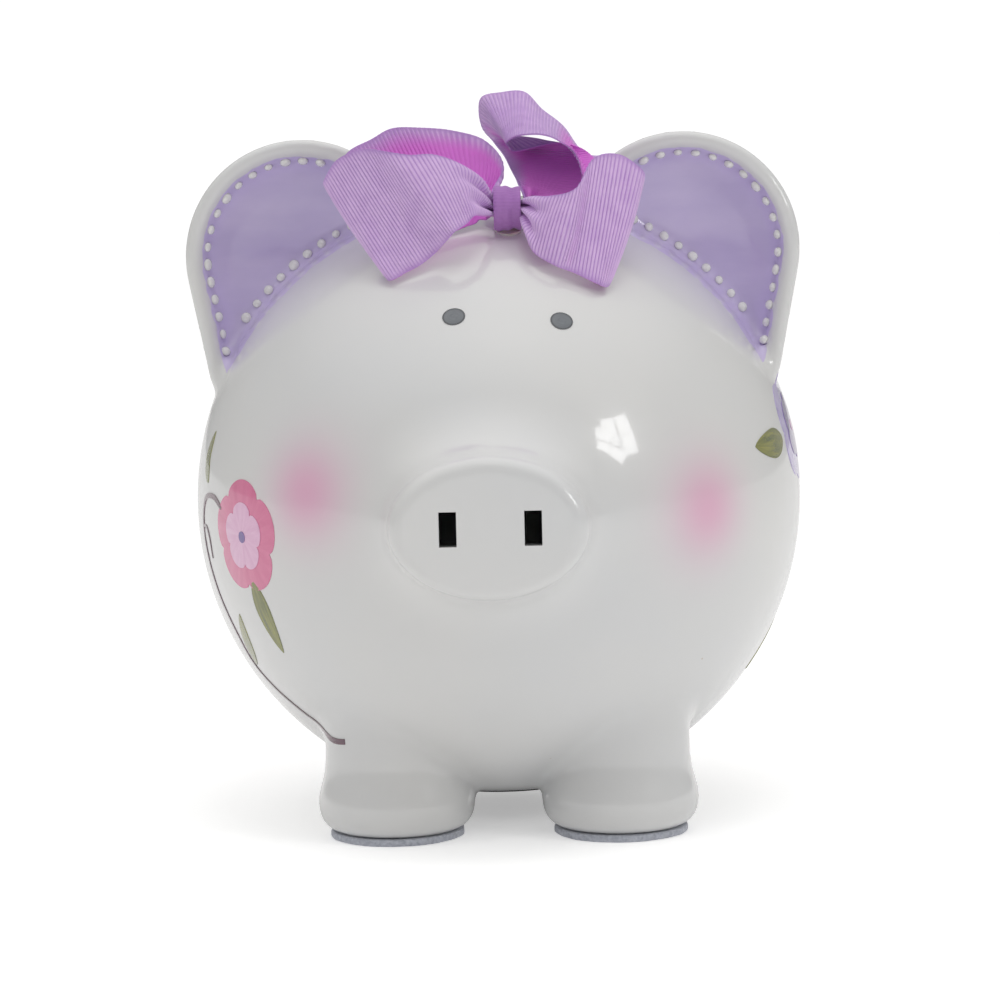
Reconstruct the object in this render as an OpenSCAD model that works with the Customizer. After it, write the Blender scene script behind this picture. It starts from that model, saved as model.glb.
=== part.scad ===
// Ceramic piggy bank with cupped ears, a ribbon bow and a stopper in its belly.
// +Z is up, the snout points along -Y, and the floor is Z = 0 under the middle.

/* [Body] */
// Radius of the round body, seen from the front
body_r = 88; // [86:0.5:90]
// Half of the body's length, front to back
body_half_l = 95; // [93:0.5:97]
// Height of the body's middle above the floor
body_z = 92; // [91:0.5:93]
// Thickness of the cast wall
wall = 5.5; // [4.5:0.5:6.5]
// Height of the flat belly above the floor
belly_z = 8; // [7:0.5:9]

/* [Legs] */
// Distance of each leg from the middle, sideways
leg_x = 31.6; // [30:0.2:33]
// How far all the legs sit to the pig's left of the middle
leg_shift = 1.6; // [0:0.2:2]
// Distance of each leg from the middle, front to back
leg_y = 42; // [40:0.5:45]
// Widest radius of a leg
leg_r = 22.6; // [21:0.2:23]
// Radius of a foot pad
pad_r = 19.2; // [17:0.2:19.4]
// Thickness of a foot pad
pad_t = 2; // [1.5:0.5:2.5]

/* [Snout] */
// Distance of the snout's flat face in front of the body's middle
snout_y = 108; // [106:0.5:112]
// Half of the face's width
snout_r = 25.8; // [24:0.2:27]
// Height of the snout as a share of its width
snout_squash = 0.72; // [0.68:0.01:0.8]
// Sideways place of the snout
snout_x = -1; // [-2:0.5:2]
// Width of a nostril
nostril_w = 4.6; // [4:0.2:5]
// Height of a nostril
nostril_h = 9.2; // [8:0.2:10]
// Distance of each nostril from the snout's middle
nostril_x = 11.2; // [10:0.2:12]

/* [Ears] */
// Distance of each ear's middle from the body's middle, sideways
ear_x = 54.4; // [53:0.2:56]
// Height of each ear's middle above the body's middle
ear_up = 71.4; // [70:0.2:73]
// Outer radius of an ear
ear_r = 33.6; // [32:0.2:35]
// Thickness of an ear's wall
ear_wall = 4.8; // [4:0.2:6]
// Distance of the ears' rims in front of the middle
ear_front = 20; // [18:0.5:22]

/* [Coin slot] */
// Length of the coin slot
slot_l = 36; // [32:1:40]
// Width of the coin slot
slot_w = 5; // [4.6:0.2:6]
// Distance of the slot's middle behind the body's middle
slot_y = 22; // [20:1:26]

/* [Stopper] */
// Radius of the hole in the belly
hole_r = 18; // [16:0.5:18]
// Gap between the stopper and its hole
hole_gap = 0.05; // [0.03:0.01:0.08]
// Radius of the stopper's flange
flange_r = 22; // [20:0.5:22]
// Thickness of the stopper's flange
flange_t = 2.4; // [2:0.2:3]
// Gap all round the flange, in the shallow recess that it sits in
recess_gap = 0.6; // [0.4:0.1:1]

/* [Bow] */
// Sideways place of the bow's knot
knot_x = 5; // [4:0.5:6]
// Distance of the knot in front of the body's middle
knot_y = 47; // [46:0.5:48]
// Height of the knot above the body's middle
knot_up = 84; // [83.5:0.5:85]
// Width of the knot
knot_w = 7; // [6:0.5:8]
// Thickness of the ribbon, with its ribs
ribbon_t = 0.8; // [0.6:0.1:1]

/* [Hidden] */
$fn = 96;
far = 200;
glaze = [0.93, 0.92, 0.9];
lilac = [0.72, 0.55, 0.82];
leg_h = 46;
nostril_up = 0.7;
tail_up = 6;
tail_r = 3.6;
curl_r = 7.4;
curl_start = 110;
curl_angle = 280;
// Radius of the round knobs at the curl's two ends, a little more than the tail's own
curl_end_r = tail_r + 0.3;
head_slope = 28.5;
// Half sizes of the gathered ribbon where the knot holds it: across, and away from the head
gather = [3.4, 4.8];
thread_t = 0.5;
knot_t = 0.9;
knot_half = gather[1] + thread_t + knot_t;
glue_r = 3.6;

// Stations along each ribbon loop, from the front of the knot round to its back.
// Each one is the upper edge and the lower edge of the ribbon there.
left_loop = [
    [[4, -49, 178], [4, -49, 174]],
    [[0.5, -49, 179], [0.5, -49, 174]],
    [[-3, -53, 185], [-2, -56, 174]],
    [[-9, -58, 189], [-4, -61, 174]],
    [[-15, -60, 191], [-6, -63, 172]],
    [[-21, -61, 191], [-9, -65, 170]],
    [[-27, -60, 192], [-11, -64, 168]],
    [[-33, -57, 193], [-15, -60, 164]],
    [[-38, -54, 192], [-19, -60, 161]],
    [[-42, -50, 190], [-23, -60, 159]],
    [[-45, -46, 186], [-27, -60, 157]],
    [[-46, -42, 184], [-28, -57, 158]],
    [[-43, -38, 188], [-26, -52, 162]],
    [[-39, -36, 193], [-22, -49, 165]],
    [[-33, -35, 196], [-17, -47, 167]],
    [[-27, -34, 199], [-12, -46, 169]],
    [[-19, -34, 199], [-7, -45, 171]],
    [[-13, -34, 197], [-4, -44, 172]],
    [[-7, -36, 194], [-3, -44, 173]],
    [[-3, -40, 188], [-1, -45, 173]],
    [[0.5, -45.5, 179], [0.5, -45.5, 174]]];
right_loop = [
    [[6, -49, 178], [6, -49, 174]],
    [[9.5, -49, 178], [9.5, -49, 174]],
    [[12, -54, 179], [10, -55, 170]],
    [[17, -58, 179], [12, -60, 164]],
    [[24, -60, 181], [18, -63, 160]],
    [[29, -55, 189], [23, -63, 158]],
    [[36, -53, 190], [29, -63, 155]],
    [[42, -50, 186], [32, -61, 154]],
    [[43, -44, 184], [33, -57, 157]],
    [[40, -39, 188], [31, -50, 163]],
    [[35, -30, 190], [28, -47, 172]],
    [[27, -20, 191], [25, -46, 189]],
    [[21, -15, 199], [20, -48, 194]],
    [[15, -14, 204], [15, -48, 196]],
    [[10, -14, 209], [9, -46, 196]],
    [[3, -12, 209], [6, -42, 195]],
    [[-2, -10, 208], [5, -38, 194]],
    [[-3, -8, 204], [6, -33, 193]],
    [[-2, -10, 199], [8, -30, 192]],
    [[1, -16, 195], [20, -28, 194]],
    [[4, -24, 191], [28, -30, 191]],
    [[6, -32, 187], [29, -37, 186]],
    [[8, -39, 183], [19, -42, 179]],
    [[9.5, -45.5, 178], [9.5, -45.5, 174]]];
// The whole ribbon: round the left loop, back through the knot, and round the right loop
ribbon_path = concat(left_loop, [for (i = [len(right_loop) - 1:-1:0]) right_loop[i]]);

// An egg shape, longest front to back
module egg(r, half_l) {
    translate([0, 0, body_z]) scale([1, half_l / r, 1]) sphere(r);
}

module outer_egg() {
    egg(body_r, body_half_l);
}

// What is left of the children above a height
module above(z) {
    intersection() {
        children();
        translate([-far / 2, -far, z]) cube([far, 2 * far, far]);
    }
}

// One leg with a round foot, run up into the belly. The inset makes its hollow.
module leg(inset) {
    foot = pad_r - inset;
    r = leg_r - inset;
    soft = 4;
    base = pad_t + inset;
    translate([0, 0, base]) rotate_extrude() polygon([
        [0, 0],
        for (a = [0:18:90]) [foot - soft + soft * sin(a), soft - soft * cos(a)],
        [r, 6], [r, 10], [r - 1.2, 18], [r - 1.2, leg_h - base], [0, leg_h - base]]);
}

module legs(inset) {
    for (x = [-leg_x, leg_x], y = [-leg_y, leg_y]) translate([leg_shift + x, y, 0]) leg(inset);
}

// The snout as a squashed turned shape, with its face at the front
module snout(inset) {
    r = snout_r - inset;
    soft = 2;
    back = 40;
    front = back - inset;
    translate([snout_x, back - snout_y, body_z + nostril_up]) rotate([90, 0, 0])
        scale([1, snout_squash, 1]) rotate_extrude() polygon([
            [0, 0], [r + 6.6, 0], [r + 6.6, 20], [r + 4, 24.5], [r + 1.8, 30], [r + 0.5, 35 - inset],
            for (a = [0:18:90]) [r - soft + soft * cos(a), front - soft + soft * sin(a)], [0, front]]);
}

module nostrils() {
    for (side = [-1, 1])
        translate([snout_x + side * nostril_x - nostril_w / 2, -snout_y - 1,
                body_z + nostril_up - nostril_h / 2])
            cube([nostril_w, 2 * wall + 6, nostril_h]);
}

module coin_slot() {
    translate([-slot_w / 2, slot_y - slot_l / 2, body_z + body_r / 2]) cube([slot_w, slot_l, body_r]);
}

module ceramic_body() {
    color(glaze) difference() {
        union() {
            above(belly_z) outer_egg();
            legs(0);
            snout(0);
        }
        union() {
            difference() {
                above(belly_z + wall) egg(body_r - wall, body_half_l - wall);
                cylinder(r = hole_r + 2 * wall, h = belly_z + flange_t + wall);
            }
            legs(wall);
            snout(wall);
        }
        cylinder(r = hole_r, h = 4 * wall);
        cylinder(r = flange_r + recess_gap, h = belly_z + flange_t);
        coin_slot();
        nostrils();
    }
}

// A cupped ear on the pig's own left: a round dish drawn down to a tip at the cheek
module ear() {
    tip = [76 - ear_x, 0, -31.5];
    dish_depth = 19;
    cup_depth = 13;
    difference() {
        translate([ear_x, -ear_front, body_z + ear_up]) difference() {
            hull() {
                dish(ear_r, dish_depth);
                translate(tip) dish(5, dish_depth - 4);
            }
            hull() {
                dish(ear_r - ear_wall, cup_depth);
                translate(tip + [-3, 0, 3]) dish(1.5, cup_depth / 2);
            }
        }
        outer_egg();
    }
}

// The back half of a flattened ball, open side to the front
module dish(r, depth) {
    rotate([90, 0, 0]) mirror([0, 0, 1]) scale([1, 1, depth / r]) difference() {
        sphere(r, $fn = 40);
        translate([-far / 2, -far / 2, -far]) cube(far);
    }
}

module left_ear() {
    color(glaze) ear();
}

module right_ear() {
    color(glaze) mirror([1, 0, 0]) ear();
}

// Moves the children to a point of the tail's curl, at an angle round it
module on_curl(angle) {
    rotate([0, -angle, 0]) translate([curl_r, 0, 0]) children();
}

// A small curled tail: a stub out of the rump and most of one turn, ending in a round tip
module tail() {
    reach = snout_y - tail_r;
    color(glaze) difference() {
        translate([0, reach, body_z + tail_up]) union() {
            rotate([90, 0, 0]) rotate([0, 0, curl_start])
                rotate_extrude(angle = curl_angle) translate([curl_r, 0]) circle(tail_r);
            on_curl(curl_start) sphere(curl_end_r);
            on_curl(curl_start + curl_angle) sphere(curl_end_r);
            on_curl(curl_start + curl_angle) rotate([90, 0, 0]) cylinder(r1 = tail_r, r2 = 5, h = 20);
        }
        outer_egg();
    }
}

module belly_stopper() {
    plug_h = wall + 2;
    grip_w = 9;
    color("dimgray") translate([0, 0, belly_z + flange_t]) difference() {
        union() {
            translate([0, 0, -flange_t]) cylinder(r = flange_r, h = flange_t);
            cylinder(r = hole_r - hole_gap, h = plug_h);
        }
        translate([0, 0, -0.4]) cylinder(r = hole_r - 3, h = plug_h + 2);
        translate([0, 0, -flange_t - 1]) for (side = [-1, 1])
            translate([side * 6 - grip_w / 4, -grip_w / 2, 0]) cube([grip_w / 2, grip_w, 2]);
    }
}

module foot_pad(side, end) {
    color("slategray") translate([leg_shift + side * leg_x, end * leg_y, 0])
        cylinder(r = pad_r, h = pad_t);
}

// Moves the children to the knot, with Z pointing away from the head
module at_knot() {
    translate([knot_x, -knot_y, body_z + knot_up]) rotate([head_slope, 0, 0]) children();
}

// An oval bar through the knot, grown by a margin all round
module oval_bar(grow, length) {
    at_knot() rotate([90, 0, 90]) translate([0, 0, -length / 2]) linear_extrude(length)
        scale([gather[0] + grow, gather[1] + grow]) circle(1);
}

function unit(v) = v / norm(v);
function middle(s) = (s[0] + s[1]) / 2;
function run(path, i) = middle(path[min(i + 1, len(path) - 1)]) - middle(path[max(i - 1, 0)]);
function face(path, i) = unit(cross(run(path, i), path[i][0] - path[i][1]));

// A flat band through the stations of a path
module band(path) {
    last = len(path) - 1;
    points = [for (i = [0:last], k = [0:3])
        path[i][k < 2 ? 0 : 1] + face(path, i) * (k == 0 || k == 3 ? 1 : -1) * ribbon_t / 2];
    sides = [for (i = [0:last - 1], k = [0:3])
        each [[4 * i + k, 4 * i + (k + 1) % 4, 4 * i + 4 + k],
            [4 * i + (k + 1) % 4, 4 * i + 4 + (k + 1) % 4, 4 * i + 4 + k]]];
    polyhedron(points, concat([[3, 2, 1, 0]], sides,
        [[4 * last, 4 * last + 1, 4 * last + 2, 4 * last + 3]]));
}

module bow_ribbon() {
    color(lilac) band(ribbon_path);
}

module bow_knot() {
    color(lilac) difference() {
        oval_bar(thread_t + knot_t, knot_w);
        oval_bar(thread_t, knot_w + 1);
    }
}

module bow_thread() {
    color("plum") difference() {
        oval_bar(thread_t, 3);
        oval_bar(0, 4);
    }
}

module bow_glue() {
    color("beige") difference() {
        at_knot() translate([0, 0, -far / 20 - knot_half]) cylinder(r = glue_r, h = far / 20);
        outer_egg($fn = 300);
    }
}

ceramic_body();
left_ear();
right_ear();
tail();
belly_stopper();
foot_pad(1, -1);  // front_left_foot_pad
foot_pad(-1, -1);  // front_right_foot_pad
foot_pad(1, 1);  // rear_left_foot_pad
foot_pad(-1, 1);  // rear_right_foot_pad
bow_ribbon();
bow_knot();
bow_thread();
bow_glue();
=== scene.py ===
import bpy
import math
import numpy as np
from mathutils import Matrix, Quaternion, Vector
from mathutils.bvhtree import BVHTree


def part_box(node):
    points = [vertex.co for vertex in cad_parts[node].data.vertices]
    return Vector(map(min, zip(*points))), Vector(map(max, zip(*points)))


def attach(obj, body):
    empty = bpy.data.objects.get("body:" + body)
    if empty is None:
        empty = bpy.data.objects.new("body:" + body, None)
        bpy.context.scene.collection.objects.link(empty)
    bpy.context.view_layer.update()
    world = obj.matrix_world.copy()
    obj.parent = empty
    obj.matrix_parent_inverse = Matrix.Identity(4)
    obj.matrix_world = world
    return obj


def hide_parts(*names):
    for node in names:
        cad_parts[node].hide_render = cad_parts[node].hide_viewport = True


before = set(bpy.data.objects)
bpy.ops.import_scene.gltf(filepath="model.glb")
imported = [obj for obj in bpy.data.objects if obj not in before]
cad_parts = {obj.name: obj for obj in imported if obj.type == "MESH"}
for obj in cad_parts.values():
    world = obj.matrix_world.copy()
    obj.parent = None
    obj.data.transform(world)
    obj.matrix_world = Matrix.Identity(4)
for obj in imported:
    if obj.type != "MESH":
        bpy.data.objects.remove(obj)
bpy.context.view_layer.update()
mm = 0.001


def boxMm(node):
    low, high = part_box(node)
    return np.array(low) / mm, np.array(high) / mm


# Sizes read from the frame, in millimetres
ceramicLow, ceramicHigh = boxMm("ceramic_body")
leftPadLow, leftPadHigh = boxMm("front_left_foot_pad")
rightPadLow, rightPadHigh = boxMm("front_right_foot_pad")
knotLow, knotHigh = boxMm("bow_knot")
stopperLow, stopperHigh = boxMm("belly_stopper")
bodyRadius = (ceramicHigh[0] - ceramicLow[0]) / 2
padRadius = (leftPadHigh[0] - leftPadLow[0]) / 2
bodyHalfLength = ceramicHigh[1]
bodyCentre = np.array([0, 0, ceramicHigh[2] - bodyRadius])
bodySize = np.array([bodyRadius, bodyHalfLength, bodyRadius])
footZ = leftPadHigh[2]
legMiddle = (leftPadLow[0] + rightPadHigh[0]) / 2
legX = leftPadHigh[0] - padRadius - legMiddle
legY = -(leftPadLow[1] + leftPadHigh[1]) / 2
# The stopper's flange lies flush with the belly, in a recess
bellyZ = stopperLow[2]
plugHeight = 7.5
recessGap = 0.6
recessZ = stopperHigh[2] - plugHeight
recessRadius = (stopperHigh[0] - stopperLow[0]) / 2 + recessGap


def clearSelection():
    if bpy.context.object and bpy.context.object.mode != "OBJECT":
        bpy.ops.object.mode_set(mode="OBJECT")
    bpy.ops.object.select_all(action="DESELECT")


def makeActive(*pieces):
    clearSelection()
    for piece in pieces:
        piece.select_set(True)
    bpy.context.view_layer.objects.active = pieces[0]
    return pieces[0]


def applyPlace(piece):
    makeActive(piece)
    bpy.ops.object.transform_apply(location=True, rotation=True, scale=True)
    return piece


def joinPieces(pieces):
    joined = makeActive(*pieces)
    if len(pieces) > 1:
        bpy.ops.object.join()
    return joined


def useModifier(piece, kind, **settings):
    makeActive(piece)
    modifier = piece.modifiers.new(kind.title(), kind)
    for key, value in settings.items():
        setattr(modifier, key, value)
    bpy.ops.object.modifier_apply(modifier=modifier.name)
    return piece


def getPoints(piece):
    flat = np.empty(len(piece.data.vertices) * 3)
    piece.data.vertices.foreach_get("co", flat)
    return flat.reshape(-1, 3) / mm


def setPoints(piece, points):
    piece.data.vertices.foreach_set("co", (points * mm).ravel())
    piece.data.update()


def getNormals(piece):
    flat = np.empty(len(piece.data.vertices) * 3)
    piece.data.vertices.foreach_get("normal", flat)
    return flat.reshape(-1, 3)


def storeAttribute(piece, name, values):
    layer = piece.data.attributes.new(name, "FLOAT", "POINT")
    layer.data.foreach_set("value", values.astype(np.float32))


def mergeDoubles(piece, distance=0.00001):
    makeActive(piece)
    bpy.ops.object.mode_set(mode="EDIT")
    bpy.ops.mesh.select_all(action="SELECT")
    bpy.ops.mesh.remove_doubles(threshold=distance)
    bpy.ops.object.mode_set(mode="OBJECT")


def flipFaces(piece):
    makeActive(piece)
    bpy.ops.object.mode_set(mode="EDIT")
    bpy.ops.mesh.select_all(action="SELECT")
    bpy.ops.mesh.flip_normals()
    bpy.ops.object.mode_set(mode="OBJECT")


def smoothFaces(piece, degrees=40):
    makeActive(piece)
    bpy.ops.object.shade_smooth_by_angle(angle=math.radians(degrees))


def finishPiece(piece, name, body, material=None):
    piece.name = name
    piece.data.name = name
    if material:
        piece.data.materials.clear()
        piece.data.materials.append(material)
    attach(piece, body)
    return piece


def screenColour(red, green, blue):
    values = [c / 255 for c in (red, green, blue)]
    return tuple(c / 12.92 if c < 0.04 else ((c + 0.055) / 1.055) ** 2.4 for c in values) + (1,)


def newMaterial(name, **sockets):
    material = bpy.data.materials.new(name)
    material.use_nodes = True
    tree = material.node_tree
    shader = tree.nodes["Principled BSDF"]
    for socket, value in sockets.items():
        shader.inputs[socket.replace("_", " ")].default_value = value
    return material, tree, shader


def addNode(tree, kind, settings=None, **inputs):
    made = tree.nodes.new("ShaderNode" + kind)
    for key, value in (settings or {}).items():
        setattr(made, key, value)
    for key, value in inputs.items():
        socket = made.inputs[int(key[1:])] if key[1:].isdigit() else made.inputs[key.replace("_", " ")]
        if isinstance(value, bpy.types.NodeSocket):
            tree.links.new(value, socket)
        else:
            socket.default_value = value
    return made


def mixColours(tree, share, first, second, blend="MIX"):
    made = addNode(tree, "Mix", {"data_type": "RGBA", "blend_type": blend}, i0=share, i6=first, i7=second)
    return made.outputs[2]


def noiseShare(tree, where, scale, low, high, detail=3.0, stretch=None):
    if stretch:
        where = addNode(tree, "Mapping", Vector=where, Scale=stretch).outputs["Vector"]
    noise = addNode(tree, "TexNoise", Vector=where, Scale=scale, Detail=detail)
    spread = addNode(tree, "MapRange", Value=noise.outputs["Fac"], From_Min=low, From_Max=high)
    return spread.outputs["Result"]


def addBump(tree, shader, height, strength, distance):
    bump = addNode(tree, "Bump", Height=height, Strength=strength, Distance=distance)
    tree.links.new(bump.outputs["Normal"], shader.inputs["Normal"])


print("camera and studio")

cameraSettings = {
    "distance": 0.96,
    "target": (0.0003, 0, 0.0908),
    "azimuth": 1.0,
    "elevation": 5.0,
    "tilt": 1.3,
    "lens": 117.7,
}


def makeCamera(settings):
    azimuth = math.radians(settings["azimuth"])
    elevation = math.radians(settings["elevation"])
    back = Vector((math.sin(azimuth) * math.cos(elevation), -math.cos(azimuth) * math.cos(elevation),
                   math.sin(elevation)))
    clearSelection()
    bpy.ops.object.camera_add(location=Vector(settings["target"]) + back * settings["distance"])
    camera = bpy.context.object
    camera.rotation_mode = "QUATERNION"
    tilt = Quaternion((0, 0, 1), -math.radians(settings["tilt"]))
    camera.rotation_quaternion = (-back).to_track_quat("-Z", "Y") @ tilt
    camera.data.lens = settings["lens"]
    camera.data.sensor_width = 36
    bpy.context.scene.camera = camera


makeCamera(cameraSettings)

studioSettings = {
    "floorColour": (0.9, 0.9, 0.9, 1),
    "floorGlow": 0.38,
    "floorBounce": 0.13,
    "front": 0.25,
    "back": 0.4,
    "above": 0.95,
    "backdrop": 1.05,
}
# name, place, size across and up, power, in metres and watts
lamps = [
    ("overheadLamp", (0.1, -0.5, 1.4), (0.5, 0.3), 2.0),
    ("leftLamp", (-1.1, -0.6, 0.9), (0.3, 0.5), 1.2),
    ("windowPaneA", (0.84, -0.74, 0.67), (0.11, 0.14), 0.35),
    ("windowPaneB", (0.92, -0.64, 0.67), (0.11, 0.14), 0.35),
    ("windowPaneC", (0.84, -0.74, 0.51), (0.11, 0.14), 0.35),
    ("windowPaneD", (0.92, -0.64, 0.51), (0.11, 0.14), 0.35),
]


def aimAt(lamp, target):
    lamp.rotation_euler = (Vector(target) - lamp.location).to_track_quat("-Z", "Y").to_euler()


def makeStudio(settings):
    clearSelection()
    bpy.ops.mesh.primitive_plane_add(size=40, location=(0, 0, 0))
    floor = bpy.context.object
    floor.name = "floor"
    material, tree, shader = newMaterial("paleFloor", Roughness=0.85, Specular_IOR_Level=0.2)
    where = addNode(tree, "TexCoord").outputs["Object"]
    share = noiseShare(tree, where, 60, 0.35, 0.65)
    pale = settings["floorColour"]
    dimmer = tuple(c * 0.985 for c in pale[:3]) + (1,)
    tree.links.new(mixColours(tree, share, pale, dimmer), shader.inputs["Base Color"])
    seen = addNode(tree, "LightPath").outputs["Is Camera Ray"]
    glow = addNode(tree, "MapRange", Value=seen, To_Min=settings["floorBounce"], To_Max=settings["floorGlow"])
    shader.inputs["Emission Color"].default_value = (1, 1, 1, 1)
    tree.links.new(glow.outputs[0], shader.inputs["Emission Strength"])
    floor.data.materials.append(material)
    # The room is brighter behind and above the object than in front of it, and its backdrop is white
    world = bpy.data.worlds.new("studio")
    bpy.context.scene.world = world
    world.use_nodes = True
    tree = world.node_tree
    direction = addNode(tree, "TexCoord").outputs["Generated"]
    parts = addNode(tree, "SeparateXYZ", Vector=direction)
    level = addNode(tree, "MapRange", Value=parts.outputs["Y"], From_Min=-0.9, From_Max=0.3,
                    To_Min=settings["front"], To_Max=settings["back"]).outputs["Result"]
    sky = addNode(tree, "MapRange", Value=parts.outputs["Z"], From_Min=0.5, From_Max=1.0,
                  To_Max=settings["above"]).outputs["Result"]
    strength = addNode(tree, "Math", {"operation": "ADD"}, i0=level, i1=sky).outputs[0]
    light = tree.nodes["Background"]
    light.inputs["Color"].default_value = (1, 0.995, 0.985, 1)
    tree.links.new(strength, light.inputs["Strength"])
    backdrop = addNode(tree, "Background", Color=(1, 1, 1, 1), Strength=settings["backdrop"])
    seen = addNode(tree, "LightPath").outputs["Is Camera Ray"]
    mixed = addNode(tree, "MixShader", i0=seen, i1=light.outputs[0], i2=backdrop.outputs[0])
    tree.links.new(mixed.outputs[0], tree.nodes["World Output"].inputs["Surface"])
    for name, place, size, power in lamps:
        clearSelection()
        bpy.ops.object.light_add(type="AREA", location=place)
        lamp = bpy.context.object
        lamp.name = name
        lamp.data.shape = "RECTANGLE"
        lamp.data.size, lamp.data.size_y = size
        lamp.data.energy = power
        lamp.visible_glossy = name.startswith("windowPane")
        aimAt(lamp, (0, 0, 0.1))
    bpy.context.scene.view_settings.view_transform = "Standard"


makeStudio(studioSettings)

print("ceramic shell")

ceramicSettings = {
    "voxel": 1.5,
    "innerVoxel": 3.5,
    "wall": 5.5,
    "bellySoftness": 6,
    "legRadius": 19.8,
    "legSpread": 2.3,
    "spreadHeight": 8,
    "spreadReach": 7,
    "footEdge": 4.5,
    "legBlend": 4,
    "legTop": 60,
    "roughLegTop": 40,
    "snoutX": -1,
    "snoutZ": 92.7,
    "snoutHalfWidth": 25.8,
    "snoutHalfHeight": 18.3,
    "snoutEdge": 3.2,
    "snoutBlend": 12,
    "snoutRoot": -60,
    "snoutFlare": (2.8, 3.2),
    "flareDepth": 16,
    "nostrilMiddle": -0.5,
    "nostrilX": 11.2,
    "nostrilWidth": 4.6,
    "nostrilHeight": 9.2,
    "slotY": 22,
    "slotLength": 36,
    "slotWidth": 5,
    "holeRadius": 18.05,
}
earSettings = {
    "centreX": 54.4,
    "centreZ": 163.4,
    "radius": 33.6,
    "tipX": 76,
    "tipZ": 131.9,
    "tipRadius": 6.4,
    "frontY": -20,
    "wall": 4.8,
    "depths": (19, 15),
    "cupDepths": (13, 8),
    "rimEdge": 2.2,
    "blend": 5,
    "liningRim": 4.9,
    "liningHead": 85.5,
}
tailSettings = {
    "radius": 3.6,
    "curl": 7.4,
    "y": 104.4,
    "z": 98,
    "rootLength": 16,
    "turns": (390, 110),
    "blend": 5,
}


def smoothUnion(first, second, soft):
    share = np.clip(0.5 + 0.5 * (second - first) / soft, 0, 1)
    return second * (1 - share) + first * share - soft * share * (1 - share)


def ovalDistance(offsets, sizes):
    near = np.sqrt(sum((o / s) ** 2 for o, s in zip(offsets, sizes)))
    steep = np.sqrt(sum((o / s ** 2) ** 2 for o, s in zip(offsets, sizes)))
    return near * (near - 1) / np.maximum(steep, 1e-6)


def roundedCorner(across, along, edge):
    a, b = across + edge, along + edge
    return np.minimum(np.maximum(a, b), 0) + np.hypot(np.maximum(a, 0), np.maximum(b, 0)) - edge


def eggField(p):
    egg = ovalDistance((p - bodyCentre).T, bodySize)
    return -smoothUnion(-egg, p[:, 2] - bellyZ, ceramicSettings["bellySoftness"])


def legsField(p):
    x, y, z = np.abs(p[:, 0] - legMiddle), np.abs(p[:, 1]), p[:, 2]
    c = ceramicSettings
    spread = c["legSpread"] * np.exp(-((z - footZ - c["spreadHeight"]) / c["spreadReach"]) ** 2)
    across = np.hypot(x - legX, y - legY) - c["legRadius"] - spread
    return np.maximum(roundedCorner(across, footZ - z, c["footEdge"]), z - c["legTop"])


def snoutField(p):
    c = ceramicSettings
    depth = np.clip((p[:, 1] - ceramicLow[1]) / c["flareDepth"], 0, 2)
    x, z = p[:, 0] - c["snoutX"], p[:, 2] - c["snoutZ"]
    side = ovalDistance((x, z), (c["snoutHalfWidth"] + c["snoutFlare"][0] * depth,
                                 c["snoutHalfHeight"] + c["snoutFlare"][1] * depth))
    return np.maximum(roundedCorner(side, ceramicLow[1] - p[:, 1], c["snoutEdge"]),
                      p[:, 1] - c["snoutRoot"])


# Signed distance from an ear's outline, seen from the front, and how far along to its tip
def earOutline(x, z):
    e = earSettings
    along = np.array([e["tipX"] - e["centreX"], e["tipZ"] - e["centreZ"]])
    length = np.hypot(*along)
    along /= length
    dx, dz = np.abs(x) - e["centreX"], z - e["centreZ"]
    down = dx * along[0] + dz * along[1]
    side = np.abs(dx * along[1] - dz * along[0])
    slope = (e["radius"] - e["tipRadius"]) / length
    level = math.sqrt(1 - slope ** 2)
    share = down * level - side * slope
    flank = side * level + down * slope - e["radius"]
    tip = np.hypot(side, down - length) - e["tipRadius"]
    distance = np.where(share < 0, np.hypot(side, down) - e["radius"],
                        np.where(share > level * length, tip, flank))
    return distance, np.clip(down / length, 0, 1)


# Signed distance from a dish whose outline is the ear's, drawn in by an inset.
# Its depths are in the middle and at the tip.
def earDish(p, inset, depths):
    e = earSettings
    distance, toTip = earOutline(p[:, 0], p[:, 2])
    radius = e["radius"] + (e["tipRadius"] - e["radius"]) * toTip - inset
    out = np.maximum(1 + (distance + inset) / radius, 0) * radius
    behind = np.maximum(p[:, 1] - e["frontY"], 0)
    return ovalDistance((out, behind), (radius, depths[0] + (depths[1] - depths[0]) * toTip))


def earField(p):
    e = earSettings
    wall = np.maximum(earDish(p, 0, e["depths"]), -earDish(p, e["wall"], e["cupDepths"]))
    return roundedCorner(wall, e["frontY"] - p[:, 1], e["rimEdge"])


def tailField(p):
    t = tailSettings
    turns = np.radians(np.linspace(*t["turns"], 25))
    curl = np.array([[t["curl"] * math.cos(a), t["y"], t["z"] + t["curl"] * math.sin(a)] for a in turns])
    root = curl[0] - [0, t["rootLength"], 0]
    line = np.vstack([root, curl])
    distance = np.full(len(p), 1e3)
    near = p[:, 1] > bodyHalfLength - 14
    q = p[near]
    best = np.full(len(q), 1e3)
    for i, (a, b) in enumerate(zip(line[:-1], line[1:])):
        share = np.clip(((q - a) @ (b - a)) / ((b - a) @ (b - a)), 0, 1)
        thick = t["radius"] * (1.3 - 0.3 * share if i == 0 else 1 - 0.22 * (i - 1 + share) / (len(line) - 2))
        best = np.minimum(best, np.linalg.norm(q - a - share[:, None] * (b - a), axis=1) - thick)
    distance[near] = best
    return distance


def shellField(p):
    field = smoothUnion(eggField(p), legsField(p), ceramicSettings["legBlend"])
    return smoothUnion(field, snoutField(p), ceramicSettings["snoutBlend"])


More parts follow.
